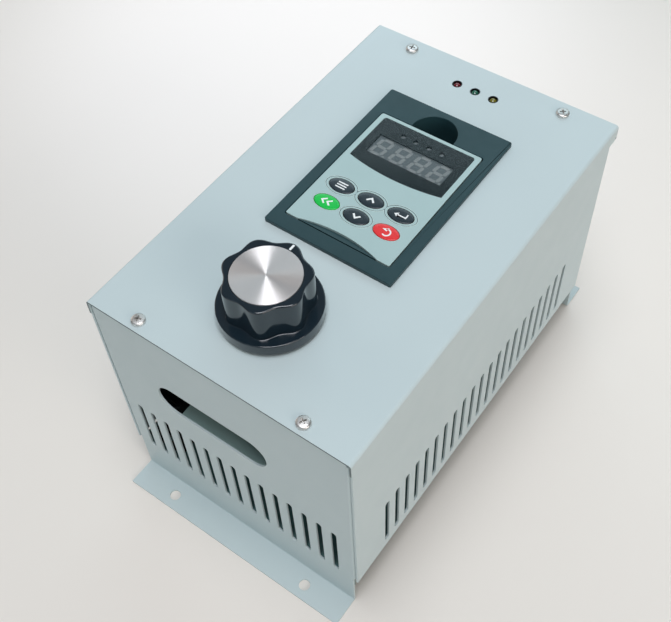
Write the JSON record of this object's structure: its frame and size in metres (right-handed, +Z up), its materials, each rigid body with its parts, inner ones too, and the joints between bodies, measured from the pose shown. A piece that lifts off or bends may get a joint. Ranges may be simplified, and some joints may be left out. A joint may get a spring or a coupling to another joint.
{
  "type": "induction heater",
  "caption": "Bench-top induction heater power unit: vented sheet-metal case on mounting feet, with power knob, clip-in keypad with digit display, status lights and a cable slot.",
  "frame": {"origin": "on the mounting plane under the feet, in the middle of the case's length and width", "axes": "+X to the right seen from the cable slot, +Y from the cable slot's end to the fan's end, +Z up"},
  "size_m": [0.17, 0.3026, 0.205],
  "materials": {
    "sheet_paint": "satin powder coat, pale blue-grey",
    "zinc_steel": "bright zinc plate",
    "sink_aluminium": "extruded, plain",
    "disc_aluminium": "spun, radial sheen",
    "shaft_steel": "turned",
    "plain_brass": "turned",
    "black_epoxy": "moulded, matte",
    "board_green": "solder mask over laminate",
    "capacitor_cream": "moulded box",
    "capacitor_blue": "moulded box",
    "ferrite_grey": "ground ferrite",
    "copper_wire": "enamelled copper",
    "tape_yellow": "polyester tape",
    "relay_blue": "moulded case",
    "fuse_black": "moulded base",
    "terminal_black": "moulded barrier strip",
    "header_white": "nylon",
    "ribbon_grey": "flat ribbon insulation",
    "fan_black": "glass-filled plastic",
    "bezel_slate": "fine satin texture",
    "connector_black": "moulded",
    "pot_steel": "pressed cover",
    "holder_black": "moulded ring",
    "led_red": "dark red tinted lens, unlit",
    "led_green": "green tinted lens, unlit",
    "led_yellow": "yellow-green tinted lens, unlit",
    "face_green": "pale green-grey, satin",
    "window_dark": "dark tinted window",
    "display_grey": "grey display block",
    "lamp_clear": "clear lens, unlit",
    "key_slate": "dark satin key",
    "key_green": "green key",
    "key_red": "red key",
    "knob_black": "glossy phenolic moulding"
  },
  "bodies": {
    "chassis": {"front_panel": "sheet_paint", "rear_panel": "sheet_paint", "floor_pan": "sheet_paint", "top_cover": "sheet_paint", "cable_shelf": "sheet_paint", "line_filter": "black_epoxy", "cover_screws": "zinc_steel", "cover_nuts": "zinc_steel", "heat_sink": "sink_aluminium", "heat_sink_screws": "zinc_steel", "bridge_rectifier": "black_epoxy", "high_side_transistor": "black_epoxy", "low_side_transistor": "black_epoxy", "device_screws": "zinc_steel", "power_board": "board_green", "board_standoffs": "plain_brass", "board_screws": "zinc_steel", "filter_capacitor": "capacitor_cream", "resonant_capacitors": "capacitor_blue", "choke_core": "ferrite_grey", "choke_winding": "copper_wire", "current_transformer": "relay_blue", "supply_transformer": "tape_yellow", "soft_start_relay": "relay_blue", "fuse_holder": "fuse_black", "terminal_block": "terminal_black", "terminal_screws": "zinc_steel", "board_headers": "header_white", "control_board": "board_green", "inner_leads": "ribbon_grey", "keypad_cable": "ribbon_grey", "fan_housing": "fan_black", "fan_guard": "zinc_steel", "fan_screws": "zinc_steel", "earth_stud": "plain_brass", "keypad_bezel": "bezel_slate", "keypad_socket": "connector_black", "pot_body": "pot_steel", "pot_nut": "zinc_steel", "led_holders": "holder_black", "status_led_red": "led_red", "status_led_green": "led_green", "status_led_yellow": "led_yellow", "led_board": "board_green"},
    "keypad": {"keypad_case": "bezel_slate", "keypad_face": "face_green", "display_window": "window_dark", "digit_display": "display_grey", "keypad_board": "board_green", "keypad_plug": "connector_black", "tact_switches": "connector_black", "keypad_leds": "lamp_clear"},
    "knob": {"knob_body": "knob_black", "knob_disc": "disc_aluminium", "pot_shaft": "shaft_steel"},
    "fan": {"fan_rotor": "fan_black"},
    "key_menu": {"key_menu": "key_slate"},
    "key_up": {"key_up": "key_slate"},
    "key_enter": {"key_enter": "key_slate"},
    "key_shift": {"key_shift": "key_green"},
    "key_down": {"key_down": "key_slate"},
    "key_reset": {"key_reset": "key_red"}
  },
  "joints": [
    {"name": "knob_turn", "type": "hinge", "parent": "chassis", "child": "knob", "pos_m": [0, -0.0842, 0.19], "axis": [0, 0, 1], "range_deg": [-150, 150]},
    {"name": "keypad_lift", "type": "slide", "parent": "chassis", "child": "keypad", "axis": [0, 0, 1], "range_m": [0, 0.025]},
    {"name": "fan_spin", "type": "hinge", "parent": "chassis", "child": "fan", "pos_m": [0, 0.1195, 0.076], "axis": [0, 1, 0], "continuous": true},
    {"name": "press_menu", "type": "slide", "parent": "keypad", "child": "key_menu", "axis": [0, 0, -1], "range_m": [0, 0.0005], "stiffness_N_per_m": 3000},
    {"name": "press_up", "type": "slide", "parent": "keypad", "child": "key_up", "axis": [0, 0, -1], "range_m": [0, 0.0005], "stiffness_N_per_m": 3000},
    {"name": "press_enter", "type": "slide", "parent": "keypad", "child": "key_enter", "axis": [0, 0, -1], "range_m": [0, 0.0005], "stiffness_N_per_m": 3000},
    {"name": "press_shift", "type": "slide", "parent": "keypad", "child": "key_shift", "axis": [0, 0, -1], "range_m": [0, 0.0005], "stiffness_N_per_m": 3000},
    {"name": "press_down", "type": "slide", "parent": "keypad", "child": "key_down", "axis": [0, 0, -1], "range_m": [0, 0.0005], "stiffness_N_per_m": 3000},
    {"name": "press_reset", "type": "slide", "parent": "keypad", "child": "key_reset", "axis": [0, 0, -1], "range_m": [0, 0.0005], "stiffness_N_per_m": 3000}
  ]
}
